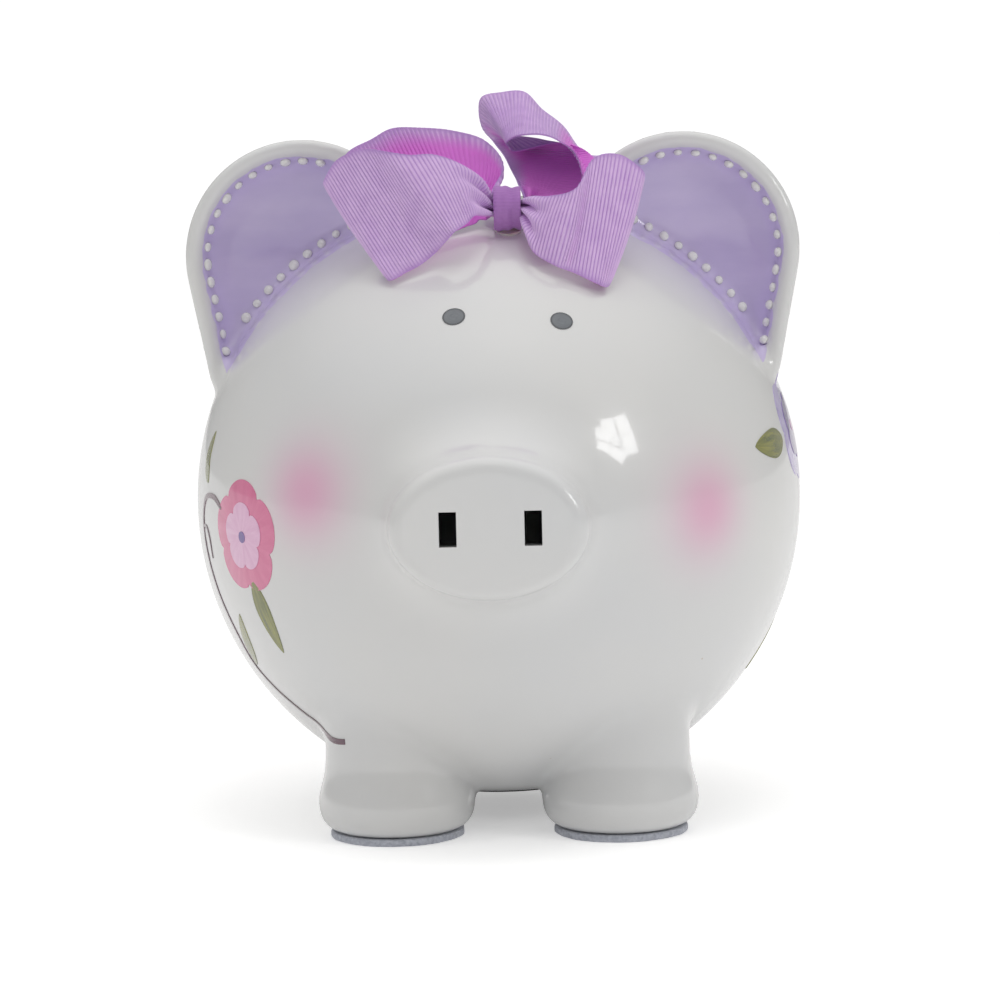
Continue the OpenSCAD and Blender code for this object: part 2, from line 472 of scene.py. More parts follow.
# The inner face of the wall, which rises over the stopper's recess
def innerField(p):
    wall = ceramicSettings["wall"]
    floor = roundedCorner(np.hypot(p[:, 0], p[:, 1]) - ceramicSettings["holeRadius"] - 2 * wall,
                          p[:, 2] - recessZ - wall, 2)
    return np.maximum(shellField(p) + wall, -floor)


def pigField(p):
    field = smoothUnion(shellField(p), earField(p), earSettings["blend"])
    return smoothUnion(field, tailField(p), tailSettings["blend"])


# Moves points onto the surface where the field has a value
def settle(points, field, level=0.0, steps=4):
    for _ in range(steps):
        value = field(points) - level
        slope = np.stack([(field(points + d) - field(points - d)) / 0.1 for d in np.eye(3) * 0.05], 1)
        move = -value[:, None] * slope / np.maximum((slope ** 2).sum(1), 0.05)[:, None]
        points = points + np.clip(move, -2, 2)
    return points


def relaxOnto(piece, field, level, rounds=6):
    edges = np.empty(len(piece.data.edges) * 2, int)
    piece.data.edges.foreach_get("vertices", edges)
    edges = edges.reshape(-1, 2)
    points = settle(getPoints(piece), field, level)
    count = np.bincount(edges.ravel(), minlength=len(points))[:, None]
    for _ in range(rounds):
        total = np.stack([np.bincount(edges[:, 0], points[edges[:, 1], k], len(points))
                          + np.bincount(edges[:, 1], points[edges[:, 0], k], len(points))
                          for k in range(3)], 1)
        points = settle(0.5 * points + 0.5 * total / count, field, level, 2)
    setPoints(piece, points)


def addBall(place, radii, segments=96):
    clearSelection()
    bpy.ops.mesh.primitive_uv_sphere_add(segments=segments, ring_count=segments // 2, radius=1,
                                         location=[c * mm for c in place], scale=[r * mm for r in radii])
    return applyPlace(bpy.context.object)


def addRod(start, end, radius, scale=(1, 1, 1)):
    a, b = Vector(start) * mm, Vector(end) * mm
    clearSelection()
    bpy.ops.mesh.primitive_cylinder_add(vertices=64, radius=radius * mm, depth=(b - a).length,
                                        location=(a + b) / 2, scale=scale,
                                        rotation=(b - a).to_track_quat("Z", "Y").to_euler())
    return applyPlace(bpy.context.object)


def addBlock(low, high):
    low, high = np.array(low), np.array(high)
    clearSelection()
    bpy.ops.mesh.primitive_cube_add(size=1, location=(low + high) / 2 * mm, scale=(high - low) * mm)
    return applyPlace(bpy.context.object)


def roughPig(inset):
    c = ceramicSettings
    parts = [addBall(bodyCentre, bodySize - inset)]
    for x in (-legX, legX):
        for y in (-legY, legY):
            foot, top = (legMiddle + x, y, footZ + inset), (legMiddle + x, y, c["roughLegTop"])
            parts.append(addRod(foot, top, c["legRadius"] - inset))
    parts.append(addRod((c["snoutX"], ceramicLow[1] + inset, c["snoutZ"]),
                        (c["snoutX"], c["snoutRoot"], c["snoutZ"]), c["snoutHalfWidth"] - inset,
                        (1, c["snoutHalfHeight"] / c["snoutHalfWidth"], 1)))
    return parts


def copyOfNode(name):
    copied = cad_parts[name].copy()
    copied.data = copied.data.copy()
    copied.parent = None
    for key in list(copied.keys()):
        del copied[key]
    bpy.context.scene.collection.objects.link(copied)
    mergeDoubles(copied)
    return copied


def makeShell():
    c = ceramicSettings
    outer = joinPieces(roughPig(-0.7) + [copyOfNode(n) for n in ("left_ear", "right_ear", "tail")])
    useModifier(outer, "REMESH", mode="VOXEL", voxel_size=c["voxel"] * mm)
    relaxOnto(outer, pigField, 0.0)
    inner = joinPieces(roughPig(c["wall"]))
    useModifier(inner, "REMESH", mode="VOXEL", voxel_size=c["innerVoxel"] * mm)
    relaxOnto(inner, innerField, 0.0)
    flipFaces(inner)
    pig = joinPieces([outer, inner])
    topZ = bodyCentre[2] + bodyRadius
    cutters = [
        addBlock((-c["slotWidth"] / 2, c["slotY"] - c["slotLength"] / 2, topZ - 30),
                 (c["slotWidth"] / 2, c["slotY"] + c["slotLength"] / 2, topZ + 10)),
        addRod((0, 0, bellyZ - 10), (0, 0, bellyZ + 20), c["holeRadius"]),
        addRod((0, 0, bellyZ - 10), (0, 0, recessZ), recessRadius),
    ]
    for side in (-1, 1):
        x = c["nostrilMiddle"] + side * c["nostrilX"]
        cutters.append(addBlock(
            (x - c["nostrilWidth"] / 2, ceramicLow[1] - 5, c["snoutZ"] - c["nostrilHeight"] / 2),
            (x + c["nostrilWidth"] / 2, ceramicLow[1] + 16, c["snoutZ"] + c["nostrilHeight"] / 2)))
    for cutter in cutters:
        useModifier(pig, "BOOLEAN", operation="DIFFERENCE", object=cutter, solver="MANIFOLD")
        bpy.data.objects.remove(cutter)
    return pig


# A point on the egg, at an angle round from the snout towards the pig's left, and at a height
def spotOnEgg(around, height):
    ring = math.sqrt(max(0, 1 - ((height - bodyCentre[2]) / bodyRadius) ** 2))
    turn = math.radians(around)
    return np.array([bodyRadius * ring * math.sin(turn), -bodyHalfLength * ring * math.cos(turn), height])


blushSettings = {
    "spots": [(-35.5, 100.5), (41.2, 93.5)],
    "spread": 13,
    "colour": screenColour(232, 150, 194),
    "strength": 0.66,
}


def paintShell(pig):
    e = earSettings
    points = getPoints(pig)
    distance, _ = earOutline(points[:, 0], points[:, 2])
    headDistance = np.hypot(points[:, 0], points[:, 2] - bodyCentre[2]) - e["liningHead"]
    lining = np.minimum(-distance - e["liningRim"], headDistance)
    inCup = (earDish(points, e["wall"], e["cupDepths"]) < 1.5) & (points[:, 1] < 10)
    storeAttribute(pig, "lining", np.where(inCup, lining, -5))
    blush = sum(np.exp(-(np.linalg.norm(points - spotOnEgg(*s), axis=1) / blushSettings["spread"]) ** 2)
                for s in blushSettings["spots"])
    storeAttribute(pig, "blush", blush * blushSettings["strength"])


def glazeMaterial():
    material, tree, shader = newMaterial("whiteGlaze", Roughness=0.3, Coat_Weight=1.0, Coat_Roughness=0.07,
                                         IOR=1.5, Coat_IOR=1.5)
    where = addNode(tree, "TexCoord").outputs["Object"]
    clouds = noiseShare(tree, where, 14, 0.3, 0.7)
    base = mixColours(tree, clouds, (0.74, 0.735, 0.72, 1), (0.71, 0.715, 0.72, 1))
    # A few tiny iron specks under the glaze
    cells = addNode(tree, "TexVoronoi", Vector=where, Scale=70.0)
    near = addNode(tree, "MapRange", Value=cells.outputs["Distance"], From_Min=0.035, From_Max=0.02)
    rare = addNode(tree, "SeparateColor", Color=cells.outputs["Color"]).outputs[0]
    kept = addNode(tree, "MapRange", Value=rare, From_Min=0.8, From_Max=0.82)
    specks = addNode(tree, "Math", {"operation": "MULTIPLY"}, i0=near.outputs[0], i1=kept.outputs[0])
    base = mixColours(tree, specks.outputs[0], base, screenColour(178, 150, 120))
    blush = addNode(tree, "Attribute", {"attribute_name": "blush"}).outputs["Fac"]
    base = mixColours(tree, blush, base, blushSettings["colour"])
    strokes = noiseShare(tree, where, 30, 0.35, 0.65, 4.0, (1, 1, 2.5))
    lavender = mixColours(tree, strokes, screenColour(200, 186, 228), screenColour(214, 201, 237))
    lining = addNode(tree, "Attribute", {"attribute_name": "lining"}).outputs["Fac"]
    ragged = noiseShare(tree, where, 160, 0.3, 0.7, 2.0)
    wander = addNode(tree, "MapRange", Value=ragged, To_Min=-0.35, To_Max=0.35).outputs[0]
    edge = addNode(tree, "Math", {"operation": "ADD"}, i0=lining, i1=wander)
    painted = addNode(tree, "MapRange", Value=edge.outputs[0], From_Min=-0.12, From_Max=0.12).outputs[0]
    base = mixColours(tree, painted, base, lavender)
    tree.links.new(base, shader.inputs["Base Color"])
    ripple = noiseShare(tree, where, 45, 0.0, 1.0, 2.0)
    addBump(tree, shader, ripple, 0.12, 0.0006)
    return material


ceramicPig = makeShell()
paintShell(ceramicPig)
smoothFaces(ceramicPig, 60)
finishPiece(ceramicPig, "ceramicPig", "bank", glazeMaterial())
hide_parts("ceramic_body", "left_ear", "right_ear", "tail")

glazeTree = BVHTree.FromPolygons([v.co for v in ceramicPig.data.vertices],
                                 [p.vertices for p in ceramicPig.data.polygons])

print("painted decoration")


# Lays a point on the glaze along a line to the middle of the body
def layOnGlaze(point, lift):
    out = Vector(point - bodyCentre).normalized()
    hit, normal, _, _ = glazeTree.ray_cast(Vector(bodyCentre * mm) + out * 0.15, -out, 0.12)
    return np.array(hit + normal * lift * mm) / mm


def eggAxes(point):
    out = (point - bodyCentre) / bodySize ** 2
    out /= np.linalg.norm(out)
    up = np.array([0, 0, 1]) - out[2] * out
    up /= np.linalg.norm(up)
    return np.cross(up, out), up, out


# A thin film of paint: a grid whose rows and columns go where the place function says
def paintFilm(columns, rows, place, material, lift=0.0, thick=0.3):
    clearSelection()
    bpy.ops.mesh.primitive_grid_add(x_subdivisions=columns, y_subdivisions=rows, size=1, calc_uvs=True)
    film = bpy.context.object
    shares = getPoints(film)[:, :2] * mm + 0.5
    setPoints(film, np.array([layOnGlaze(place(u, v), lift) for u, v in shares]))
    mergeDoubles(film, 0.02 * mm)
    film.data.update()
    outward = getPoints(film) - bodyCentre
    if (getNormals(film) * outward).sum() < 0:
        flipFaces(film)
    useModifier(film, "SOLIDIFY", thickness=thick * mm, offset=0)
    smoothFaces(film, 50)
    film.data.materials.append(material)
    return film


# A round or petalled patch. Petals are given by how many there are and how deep they are cut.
def paintPatch(spot, radius, material, petals=0, cut=0.0, turn=0.0, lift=0.0, tall=1.0, rows=10):
    middle = spotOnEgg(*spot)
    right, up, _ = eggAxes(middle)
    columns = max(28, petals * 16)

    def place(u, v):
        angle = 2 * math.pi * u
        wave = abs(math.sin(petals * (angle + math.radians(turn)) / 2)) if petals else 1
        reach = radius * v * (1 - cut + cut * wave ** 0.55)
        return middle + right * reach * math.cos(angle) + up * reach * tall * math.sin(angle)

    return paintFilm(columns, rows, place, material, lift)


def curveThrough(stations, share):
    place = share * (len(stations) - 1)
    i = min(int(place), len(stations) - 2)
    t = place - i
    p0, p1, p2, p3 = (stations[max(0, min(len(stations) - 1, k))] for k in range(i - 1, i + 3))
    return 0.5 * (2 * p1 + (p2 - p0) * t + (2 * p0 - 5 * p1 + 4 * p2 - p3) * t ** 2
                  + (3 * p1 - 3 * p2 + p3 - p0) * t ** 3)


# A brush stroke through spots on the egg. Its width is full at a share of its length, and fades to both ends.
def paintStroke(spots, width, material, full=0.5, ends=(0.1, 0.1), lift=0.0, rows=4):
    stations = [spotOnEgg(*s) for s in spots]
    length = sum(np.linalg.norm(b - a) for a, b in zip(stations[:-1], stations[1:]))

    def halfWidth(u):
        toEnd = u / full if u < full else (1 - u) / (1 - full)
        least = ends[0] if u < full else ends[1]
        return width / 2 * (least + (1 - least) * math.sin(math.pi / 2 * toEnd))

    def place(u, v):
        point = curveThrough(stations, u)
        ahead = curveThrough(stations, min(u + 0.01, 1)) - curveThrough(stations, max(u - 0.01, 0))
        side = np.cross(eggAxes(point)[2], ahead)
        side /= np.linalg.norm(side)
        return point + side * halfWidth(u) * (2 * v - 1)

    return paintFilm(max(8, int(length / 1.4)), rows, place, material, lift)


# Brushed paint, darker and paler in streaks. Across and along say how fine the streaks are.
def paintMaterial(name, deep, pale, streaks):
    material, tree, shader = newMaterial(name, Roughness=0.25, Coat_Weight=1.0, Coat_Roughness=0.03)
    where = addNode(tree, "TexCoord").outputs["UV"]
    share = noiseShare(tree, where, 1, 0.32, 0.68, 4.0, streaks)
    tree.links.new(mixColours(tree, share, screenColour(*deep), screenColour(*pale)),
                   shader.inputs["Base Color"])
    addBump(tree, shader, share, 0.15, 0.0002)
    return material


def eyeMaterial():
    material, tree, shader = newMaterial("eyePaint", Roughness=0.25, Coat_Weight=1.0, Coat_Roughness=0.03)
    where = addNode(tree, "TexCoord").outputs["UV"]
    fromMiddle = addNode(tree, "SeparateXYZ", Vector=where).outputs["Y"]
    rim = addNode(tree, "MapRange", Value=fromMiddle, From_Min=0.8, From_Max=0.9).outputs[0]
    share = noiseShare(tree, where, 1, 0.3, 0.7, 3.0, (3, 5, 1))
    slate = mixColours(tree, share, screenColour(86, 92, 99), screenColour(104, 109, 115))
    tree.links.new(mixColours(tree, rim, slate, screenColour(58, 62, 68)), shader.inputs["Base Color"])
    return material


radial, lengthwise = (26, 1.2, 1), (2.0, 5.0, 1)
rosePaint = paintMaterial("rosePaint", (214, 104, 148), (226, 124, 164), radial)
palePinkPaint = paintMaterial("palePinkPaint", (226, 172, 208), (236, 190, 220), radial)
violetPaint = paintMaterial("violetPaint", (104, 78, 148), (122, 96, 166), radial)
lavenderPaint = paintMaterial("lavenderPaint", (172, 156, 212), (196, 182, 228), radial)
plumPaint = paintMaterial("plumPaint", (72, 34, 52), (112, 74, 92), lengthwise)
olivePaint = paintMaterial("olivePaint", (84, 94, 32), (148, 146, 54), lengthwise)
eyePaint = eyeMaterial()

eyes = {"rightEye": (-8.2, 147.1), "leftEye": (16.0, 145.3)}
for name, spot in eyes.items():
    finishPiece(paintPatch(spot, 3.15, eyePaint, tall=0.92), name, "bank")

# Each flower: its spot, radius, turn, outer paint and inner paint
flowers = {
    "rightRose": ((-53, 87), 16.2, 18, rosePaint, palePinkPaint, violetPaint),
    "rightRearLavender": ((-112, 104), 15.5, 40, lavenderPaint, violetPaint, palePinkPaint),
    "rightRearRose": ((-139, 68), 12.0, 0, rosePaint, palePinkPaint, violetPaint),
    "leftLavender": ((81, 112), 16.5, 30, lavenderPaint, violetPaint, palePinkPaint),
    "leftRearRose": ((116, 84), 15.0, 10, rosePaint, palePinkPaint, violetPaint),
    "leftRearLavender": ((143, 118), 12.0, 55, lavenderPaint, violetPaint, palePinkPaint),
}


def paintFlower(name, spot, radius, turn, outer, inner, heart):
    layers = [
        paintPatch(spot, radius, outer, 5, 0.17, turn),
        paintPatch(spot, radius * 0.6, inner, 5, 0.22, turn, 0.12),
        paintPatch(spot, radius * 0.1, heart, lift=0.24, rows=4),
    ]
    finishPiece(joinPieces(layers), name, "bank")


for name, values in flowers.items():
    paintFlower(name, *values)

# Each leaf: from its stalk to its tip, with its width
leaves = {
    "rightLeafA": ([(-51.6, 74.5), (-50.2, 65), (-48.5, 54.5)], 7.0),
    "rightLeafB": ([(-65, 48.5), (-63, 56), (-61, 64)], 5.5),
    "rightLeafC": ([(-68.8, 100.5), (-70.5, 107), (-68.4, 115)], 4.6),
    "rightLeafD": ([(-118, 120), (-121, 128), (-128, 134)], 7.5),
    "rightLeafE": ([(-96, 72), (-101, 66), (-108, 62)], 6.5),
    "rightLeafF": ([(-128, 80), (-124, 86), (-118, 88)], 6.0),
    "leftLeafA": ([(70, 109.5), (64, 108.6), (56.8, 108.6)], 8.5),
    "leftLeafB": ([(92, 56), (85, 50), (77, 42)], 9.0),
    "leftLeafC": ([(99, 118), (104, 124), (108, 132)], 7.5),
    "leftLeafD": ([(104, 74), (100, 67), (96, 62)], 7.0),
    "leftLeafE": ([(129, 96), (134, 103), (137, 108)], 6.0),
}
for name, (spots, width) in leaves.items():
    finishPiece(paintStroke(spots, width, olivePaint, 0.42, (0.15, 0.02)), name, "bank")

# Each stem: its spots from the root, its width, and where it is widest
stems = {
    "rightStem": ([(-39.6, 32.3), (-51.7, 32.4), (-58.2, 37.1), (-66.5, 47.6), (-67.8, 58), (-70.7, 72),
                   (-72.5, 85), (-71.5, 93), (-69, 96.6), (-64.5, 96.8), (-60.9, 94)], 1.5, 0.93),
    "rightTendril": ([(-71.8, 88), (-69.8, 87.5), (-68.5, 84), (-68.2, 79)], 1.1, 0.4),
    "rightRearStem": ([(-102, 28), (-101, 45), (-103, 62), (-107, 78), (-110, 90)], 1.3, 0.5),
    "rightLowStem": ([(-101, 44), (-110, 52), (-122, 58), (-130, 61), (-135, 64)], 1.2, 0.5),
    "leftStem": ([(106, 28), (102, 42), (99, 54), (98, 66), (97, 78), (94, 94)], 1.4, 0.6),
    "leftRearStem": ([(99, 54), (104, 62), (108, 70), (112, 76)], 1.2, 0.5),
    "leftTendril": ([(97, 76), (102, 86), (106, 96), (103, 101), (99, 98)], 1.0, 0.5),
    "leftFarStem": ([(120, 96), (126, 104), (134, 110)], 1.2, 0.5),
}
for name, (spots, width, full) in stems.items():
    finishPiece(paintStroke(spots, width, plumPaint, full, (0.75, 0.45), 0.05, 3), name, "bank")

# Rows of raised dots round each ear's lining
dotSettings = {
    "pitch": 5.1,
    "radius": 1.45,
    "height": 0.6,
    "lift": 0.35,
    "rimInset": 5.9,
    "headRadius": 89.8,
    "rimTurn": 118,
    "tipShare": 0.84,
    "headTurns": (68, 35.5),
}


def dotRows(side):
    e, d = earSettings, dotSettings
    spots = []
    # Along the rim, from the top outward to the tip
    along = np.array([e["tipX"] - e["centreX"], e["tipZ"] - e["centreZ"]])
    length = np.hypot(*along)
    lean = math.acos((e["radius"] - e["tipRadius"]) / length)
    tipTurn = math.atan2(along[1], along[0])
    reach = e["radius"] - d["rimInset"]
    start, stop = math.radians(d["rimTurn"]), tipTurn + lean
    line = [(e["centreX"] + reach * math.cos(a), e["centreZ"] + reach * math.sin(a))
            for a in np.linspace(start, stop, 60)]
    normal = np.array([math.cos(stop), math.sin(stop)])
    tip = np.array([e["tipX"], e["tipZ"]]) + normal * (e["tipRadius"] - d["rimInset"])
    line += [tuple(np.array(line[-1]) * (1 - s) + tip * s) for s in np.linspace(0.05, d["tipShare"], 20)]
    spots += evenly(line, d["pitch"])
    # Along the head, from near the bow outward to the tip
    arc = [(d["headRadius"] * math.cos(a), bodyCentre[2] + d["headRadius"] * math.sin(a))
           for a in np.radians(np.linspace(*d["headTurns"], 60))]
    spots += evenly(arc, d["pitch"])
    return [(side * x, z) for x, z in spots]


def evenly(line, pitch):
    line = np.array(line)
    travelled = np.concatenate([[0], np.cumsum(np.hypot(*np.diff(line, axis=0).T))])
    stops = np.arange(pitch / 2, travelled[-1], pitch)
    return [(np.interp(s, travelled, line[:, 0]), np.interp(s, travelled, line[:, 1])) for s in stops]


def makeDots(name, side, material, seed):
    varied = np.random.default_rng(seed)
    dots = []
    for x, z in dotRows(side):
        hit, normal, _, _ = glazeTree.ray_cast(Vector((x, -60, z)) * mm, Vector((0, 1, 0)), 0.08)
        if hit is None:
            continue
        radius = dotSettings["radius"] * varied.uniform(0.85, 1.15)
        clearSelection()
        bpy.ops.mesh.primitive_ico_sphere_add(subdivisions=2, radius=radius * mm,
                                              location=hit + normal * dotSettings["lift"] * mm,
                                              scale=(1, varied.uniform(0.9, 1.1), dotSettings["height"]),
                                              rotation=normal.to_track_quat("Z", "Y").to_euler())
        dots.append(applyPlace(bpy.context.object))
    joined = joinPieces(dots)
    smoothFaces(joined, 80)
    return finishPiece(joined, name, "bank", material)


dotPaint = paintMaterial("dotPaint", (232, 232, 228), (244, 244, 240), (8, 8, 8))
makeDots("leftEarDots", 1, dotPaint, 5)
makeDots("rightEarDots", -1, dotPaint, 9)

print("ribbon bow")

# Stations round each loop of the bow, as the ribbon's upper and lower edge, in millimetres
leftLoop = [
    [[4, -49, 178], [4, -49, 174]], [[0.5, -49, 179], [0.5, -49, 174]],
    [[-3, -53, 185], [-2, -56, 174]], [[-9, -58, 189], [-4, -61, 174]],
    [[-15, -60, 191], [-6, -63, 172]], [[-21, -61, 191], [-9, -65, 170]],
    [[-27, -60, 192], [-11, -64, 168]], [[-33, -57, 193], [-15, -60, 164]],
    [[-38, -54, 192], [-19, -60, 161]], [[-42, -50, 190], [-23, -60, 159]],
    [[-45, -46, 186], [-27, -60, 157]], [[-46, -42, 184], [-28, -57, 158]],
    [[-43, -38, 188], [-26, -52, 162]], [[-39, -36, 193], [-22, -49, 165]],
    [[-33, -35, 196], [-17, -47, 167]], [[-27, -34, 199], [-12, -46, 169]],
    [[-19, -34, 199], [-7, -45, 171]], [[-10, -33, 198], [-4, -44, 172]],
    [[-1, -34, 195], [-3, -44, 173]], [[4, -38, 188], [-1, -45, 173]],
    [[0.5, -45.5, 179], [0.5, -45.5, 174]],
]
rightLoop = [
    [[6, -49, 178], [6, -49, 174]], [[9.5, -49, 178], [9.5, -49, 174]],
    [[12, -54, 179], [10, -55, 170]], [[17, -58, 179], [12, -60, 164]],
    [[24, -60, 181], [18, -63, 160]], [[29, -55, 189], [23, -63, 158]],
    [[36, -53, 190], [29, -63, 155]], [[42, -50, 186], [32, -61, 154]],
    [[43, -44, 184], [33, -57, 157]], [[40, -39, 188], [31, -50, 163]],
    [[35, -30, 190], [28, -47, 172]], [[27, -20, 191], [25, -46, 189]],
    [[21, -15, 199], [20, -48, 194]], [[15, -14, 204], [15, -48, 196]],
    [[10, -14, 209], [9, -46, 196]], [[3, -12, 209], [6, -42, 195]],
    [[-2, -10, 208], [5, -38, 194]], [[-3, -8, 204], [6, -33, 193]],
    [[-2, -10, 199], [8, -30, 192]], [[1, -16, 195], [20, -28, 194]],
    [[4, -24, 191], [28, -30, 191]], [[6, -32, 187], [31, -39, 184]],
    [[8, -39, 183], [20, -44, 177]], [[9.5, -45.5, 178], [9.5, -45.5, 174]],
]
ribbonSettings = {
    "width": 38,
    "thickness": 0.45,
    "ribPitch": 1.0,
    "ribHeight": 0.2,
    "selvage": 1.1,
    "samplesPerRib": 4,
    "rows": 26,
    "bow": 0.1,
    "pleats": 2.5,
    "pleatLimit": 1.2,
    "glowTop": 197.5,
}


# Even points along the loops, each with its upper and lower edge
def ribbonRails(stations, step):
    upper = [np.array(s[0], float) for s in stations]
    lower = [np.array(s[1], float) for s in stations]
    shares = np.linspace(0, 1, 40 * len(stations))
    tops = np.array([curveThrough(upper, s) for s in shares])
    bottoms = np.array([curveThrough(lower, s) for s in shares])
    middle = (tops + bottoms) / 2
    travelled = np.concatenate([[0], np.cumsum(np.linalg.norm(np.diff(middle, axis=0), axis=1))])
    stops = np.linspace(0, travelled[-1], int(travelled[-1] / step) + 1)
    even = [np.stack([np.interp(stops, travelled, rail[:, k]) for k in range(3)], 1)
            for rail in (tops, bottoms)]
    return even[0], even[1], stops


def makeRibbon(stations):
    r = ribbonSettings
    tops, bottoms, stops = ribbonRails(stations, r["ribPitch"] / r["samplesPerRib"])
    columns, rows = len(stops), r["rows"]
    across = tops - bottoms
    chord = np.linalg.norm(across, axis=1)
    middle = (tops + bottoms) / 2
    ahead = np.gradient(middle, axis=0)
    outward = -np.cross(ahead, across)
    outward /= np.linalg.norm(outward, axis=1)[:, None]
    slack = np.clip(r["width"] - chord, 0, None)
    camber = r["bow"] * 2 / math.pi * np.sqrt(chord * slack) * np.clip((chord - 10) / 12, 0, 1)
    pleat = np.sqrt(np.clip((0.8 * r["width"]) ** 2 - chord ** 2, 0, None)) / (4 * r["pleats"])
    pleat = np.minimum(pleat, r["pleatLimit"]) * np.clip((18 - chord) / 8, 0, 1)
    clearSelection()
    bpy.ops.mesh.primitive_grid_add(x_subdivisions=columns - 1, y_subdivisions=rows, size=1, calc_uvs=True)
    ribbon = bpy.context.object
    shares = getPoints(ribbon)[:, :2] * mm + 0.5
    i = np.rint(shares[:, 0] * (columns - 1)).astype(int)
    v = shares[:, 1]
    spot = bottoms[i] + across[i] * v[:, None]
    rise = camber[i] * np.sin(math.pi * v) + pleat[i] * np.sin(2 * math.pi * r["pleats"] * v)
    inFromEdge = np.minimum(v, 1 - v) * r["width"]
    fade = np.clip((inFromEdge - r["selvage"] / 2) / r["selvage"], 0, 1)
    rise += fade * r["ribHeight"] * np.sin(2 * math.pi * stops[i] / r["ribPitch"])
    setPoints(ribbon, spot + outward[i] * rise[:, None])
    outside = getNormals(ribbon)
    # Painted light and shade on the ribs: each groove is marked to be painted darker and each ridge paler,
    # fading out at the selvages
    storeAttribute(ribbon, "rib", fade * (0.5 + 0.5 * np.sin(2 * math.pi * stops[i] / r["ribPitch"])))
    if (outside * outward[i]).sum() < 0:
        flipFaces(ribbon)
    useModifier(ribbon, "SOLIDIFY", thickness=r["thickness"] * mm, offset=0)
    facing = (getNormals(ribbon) * outward[np.resize(i, len(ribbon.data.vertices))]).sum(1)
    depth = np.clip((r["glowTop"] - middle[i, 2]) / 3, 0, 1) * np.clip((0.97 - v) / 0.15, 0, 1)
    storeAttribute(ribbon, "inside", np.clip(0.5 - facing, 0, 1) * np.resize(depth, len(facing)))
    smoothFaces(ribbon, 70)
    return ribbon, stops[-1]


def ribbonMaterial(name, deep, pale, inner):
    material, tree, shader = newMaterial(name, Roughness=0.55, Sheen_Weight=0.35, Sheen_Roughness=0.4,
                                         Sheen_Tint=(0.9, 0.8, 1, 1), Specular_IOR_Level=0.35)
    where = addNode(tree, "TexCoord")
    share = noiseShare(tree, where.outputs["Object"], 220, 0.3, 0.7, 4.0)
    # Painted shade in each rib groove and painted light on each ridge, mixed with a little random tone
    rib = addNode(tree, "Attribute", {"attribute_name": "rib"}).outputs["Fac"]
    weight = addNode(tree, "Math", {"operation": "MULTIPLY_ADD"}, i0=share, i1=0.3, i2=-0.15).outputs[0]
    ridge = addNode(tree, "Math", {"operation": "ADD"}, i0=rib, i1=weight).outputs[0]
    base = mixColours(tree, ridge, screenColour(*deep), screenColour(*pale))
    # The inside of each loop is painted redder, standing for light that comes through the cloth
    inside = addNode(tree, "Attribute", {"attribute_name": "inside"}).outputs["Fac"]
    base = mixColours(tree, inside, base, screenColour(*inner))
    tree.links.new(base, shader.inputs["Base Color"])
    threads = addNode(tree, "TexWave", {"bands_direction": "Y"}, Vector=where.outputs["UV"], Scale=24.0,
                      Distortion=0.6, Detail=2.0)
    addBump(tree, shader, threads.outputs["Fac"], 0.25, 0.0001)
    return material


lilacRibbon = ribbonMaterial("lilacGrosgrain", (188, 146, 212), (228, 196, 240), (228, 128, 226))
ribbonPath = leftLoop + rightLoop[::-1]
ribbon, ribbonLength = makeRibbon(ribbonPath)
finishPiece(ribbon, "bowRibbon", "bank", lilacRibbon)
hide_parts("bow_ribbon")
print("ribbon length", round(ribbonLength, 1), "mm")

knotSettings = {
    "width": 7.4,
    "ribPitch": 0.9,
    "ribHeight": 0.1,
    "columns": 120,
    "rows": 40,
    "slope": 28.5,
    "thickness": 0.45,
    "halfAcross": 4.6,
    "halfAway": 6.0,
    "pinch": 0.12,
}


# The knot: a narrow band of ribbon wrapped round the gathers
def makeKnot(settings):
    middle = (knotLow + knotHigh) / 2
    slope = math.radians(settings["slope"])
    away = np.array([0, -math.sin(slope), math.cos(slope)])
    aside = np.array([0, math.cos(slope), math.sin(slope)])
    halfAcross, halfAway = settings["halfAcross"], settings["halfAway"]
    clearSelection()
    bpy.ops.mesh.primitive_grid_add(x_subdivisions=settings["columns"], y_subdivisions=settings["rows"],
                                    size=1, calc_uvs=True)
    knot = bpy.context.object
    u, v = (getPoints(knot)[:, :2] * mm + 0.5).T
    turn = 2 * math.pi * u
    girth = 2 * math.pi * math.sqrt((halfAcross ** 2 + halfAway ** 2) / 2)
    ribs = settings["ribHeight"] * np.sin(2 * math.pi * u * round(girth / settings["ribPitch"]))
    folds = 0.15 * np.sin(5 * math.pi * v + 0.6 * np.sin(turn)) + 0.25 * np.sin(2 * math.pi * v)
    pinch = 1 - settings["pinch"] * np.cos(math.pi * (v - 0.5)) * (0.5 + 0.5 * np.cos(turn * 2))
    out = ribs + folds
    points = (middle
              + np.outer((v - 0.5) * settings["width"] * pinch, [1, 0, 0])
              + np.outer((halfAcross + out) * np.cos(turn), aside)
              + np.outer((halfAway + out) * np.sin(turn), away))
    setPoints(knot, points)
    mergeDoubles(knot)
    outward = getPoints(knot) - middle
    if (getNormals(knot) * outward).sum() < 0:
        flipFaces(knot)
    # The knot's ribs all get the middle share of the painted rib light and shade
    storeAttribute(knot, "rib", np.full(len(knot.data.vertices), 0.5))
    useModifier(knot, "SOLIDIFY", thickness=settings["thickness"] * mm, offset=0)
    smoothFaces(knot, 70)
    return knot


# The knot's grosgrain is painted darker than the bow's ribbon: painted shade for the knot tucked between the
# loops
knot = finishPiece(makeKnot(knotSettings), "bowKnot", "bank",
                   ribbonMaterial("shadedKnotGrosgrain", (172, 118, 192), (192, 140, 206), (172, 118, 192)))
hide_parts("bow_knot")

print("pads, stopper and trim")


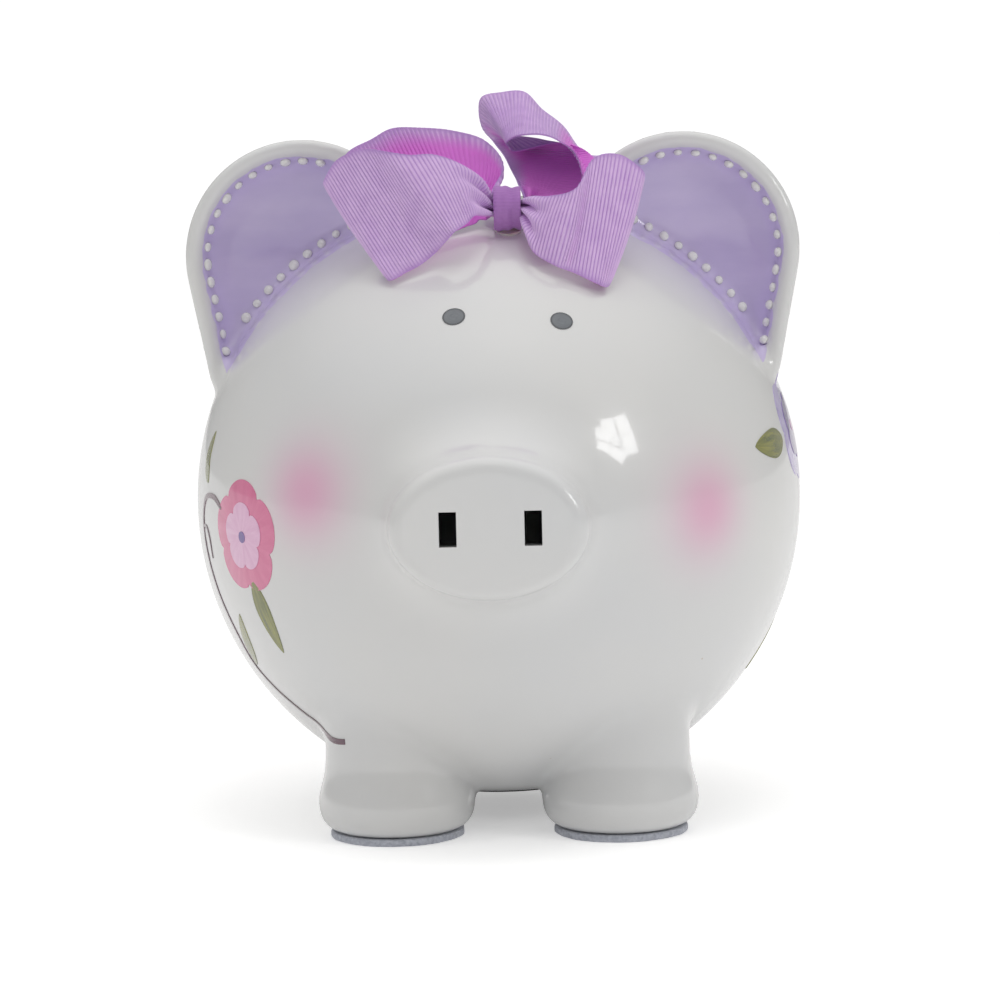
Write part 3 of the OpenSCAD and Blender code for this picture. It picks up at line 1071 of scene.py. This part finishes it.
def feltMaterial():
    material, tree, shader = newMaterial("slateFelt", Roughness=0.95, Sheen_Weight=0.4, Sheen_Roughness=0.6,
                                         Specular_IOR_Level=0.15)
    where = addNode(tree, "TexCoord").outputs["Object"]
    share = noiseShare(tree, where, 900, 0.3, 0.7, 5.0)
    tree.links.new(mixColours(tree, share, screenColour(172, 176, 188), screenColour(208, 211, 221)),
                   shader.inputs["Base Color"])
    addBump(tree, shader, share, 0.6, 0.0004)
    return material


def rubberMaterial():
    material, tree, shader = newMaterial("blackRubber", Roughness=0.55, Specular_IOR_Level=0.4)
    where = addNode(tree, "TexCoord").outputs["Object"]
    share = noiseShare(tree, where, 500, 0.3, 0.7, 4.0)
    dust = noiseShare(tree, where, 60, 0.45, 0.75, 3.0)
    base = mixColours(tree, share, (0.012, 0.012, 0.014, 1), (0.024, 0.024, 0.027, 1))
    tree.links.new(mixColours(tree, dust, base, (0.05, 0.05, 0.052, 1)), shader.inputs["Base Color"])
    addBump(tree, shader, share, 0.2, 0.0002)
    return material


def threadMaterial():
    material, tree, shader = newMaterial("plumThread", Roughness=0.6, Sheen_Weight=0.3)
    where = addNode(tree, "TexCoord").outputs["Object"]
    strands = addNode(tree, "TexWave", {"bands_direction": "X"}, Vector=where, Scale=600.0, Distortion=1.0)
    plum = mixColours(tree, strands.outputs["Fac"], screenColour(96, 54, 120), screenColour(150, 104, 174))
    tree.links.new(plum, shader.inputs["Base Color"])
    addBump(tree, shader, strands.outputs["Fac"], 0.6, 0.0003)
    return material


def glueMaterial():
    material, tree, shader = newMaterial("setGlue", Roughness=0.3, Subsurface_Weight=0.3,
                                         Subsurface_Scale=0.002)
    where = addNode(tree, "TexCoord").outputs["Object"]
    share = noiseShare(tree, where, 250, 0.3, 0.7, 3.0)
    tree.links.new(mixColours(tree, share, (0.72, 0.68, 0.58, 1), (0.8, 0.77, 0.68, 1)),
                   shader.inputs["Base Color"])
    addBump(tree, shader, share, 0.3, 0.0004)
    return material


def setNodeMaterial(node, material):
    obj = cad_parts[node]
    obj.data.materials.clear()
    obj.data.materials.append(material)


# A felt disc with soft cut edges, pressed a little thinner at its rim
def makePad(node, material, seed):
    low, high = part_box(node)
    middle = (low + high) / 2
    clearSelection()
    bpy.ops.mesh.primitive_cylinder_add(vertices=96, radius=(high.x - low.x) / 2, depth=high.z - low.z,
                                        location=middle, end_fill_type="TRIFAN")
    pad = applyPlace(bpy.context.object)
    useModifier(pad, "BEVEL", width=0.5 * mm, segments=3, limit_method="ANGLE", angle_limit=math.radians(60))
    varied = np.random.default_rng(seed)
    waves = varied.uniform(0, 2 * math.pi, 3)
    points = getPoints(pad)
    spot = points[:, :2] - np.array(middle[:2]) / mm
    turn, reach = np.arctan2(spot[:, 1], spot[:, 0]), np.hypot(*spot.T)
    wobble = sum(a * np.sin(n * turn + w) for a, n, w in zip((0.16, 0.1, 0.07), (3, 7, 17), waves))
    points[:, :2] -= spot * ((0.33 + wobble) * (reach > 5) / np.maximum(reach, 5))[:, None]
    setPoints(pad, points)
    smoothFaces(pad, 50)
    finishPiece(pad, node.replace("_foot_pad", "").title().replace("_", "") + "FootPad", "bank",
                material)
    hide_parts(node)


felt = feltMaterial()
padNodes = [end + "_" + side + "_foot_pad" for end in ("front", "rear") for side in ("left", "right")]
for seed, node in enumerate(padNodes):
    makePad(node, felt, seed)
setNodeMaterial("belly_stopper", rubberMaterial())
setNodeMaterial("bow_thread", threadMaterial())
setNodeMaterial("bow_glue", glueMaterial())
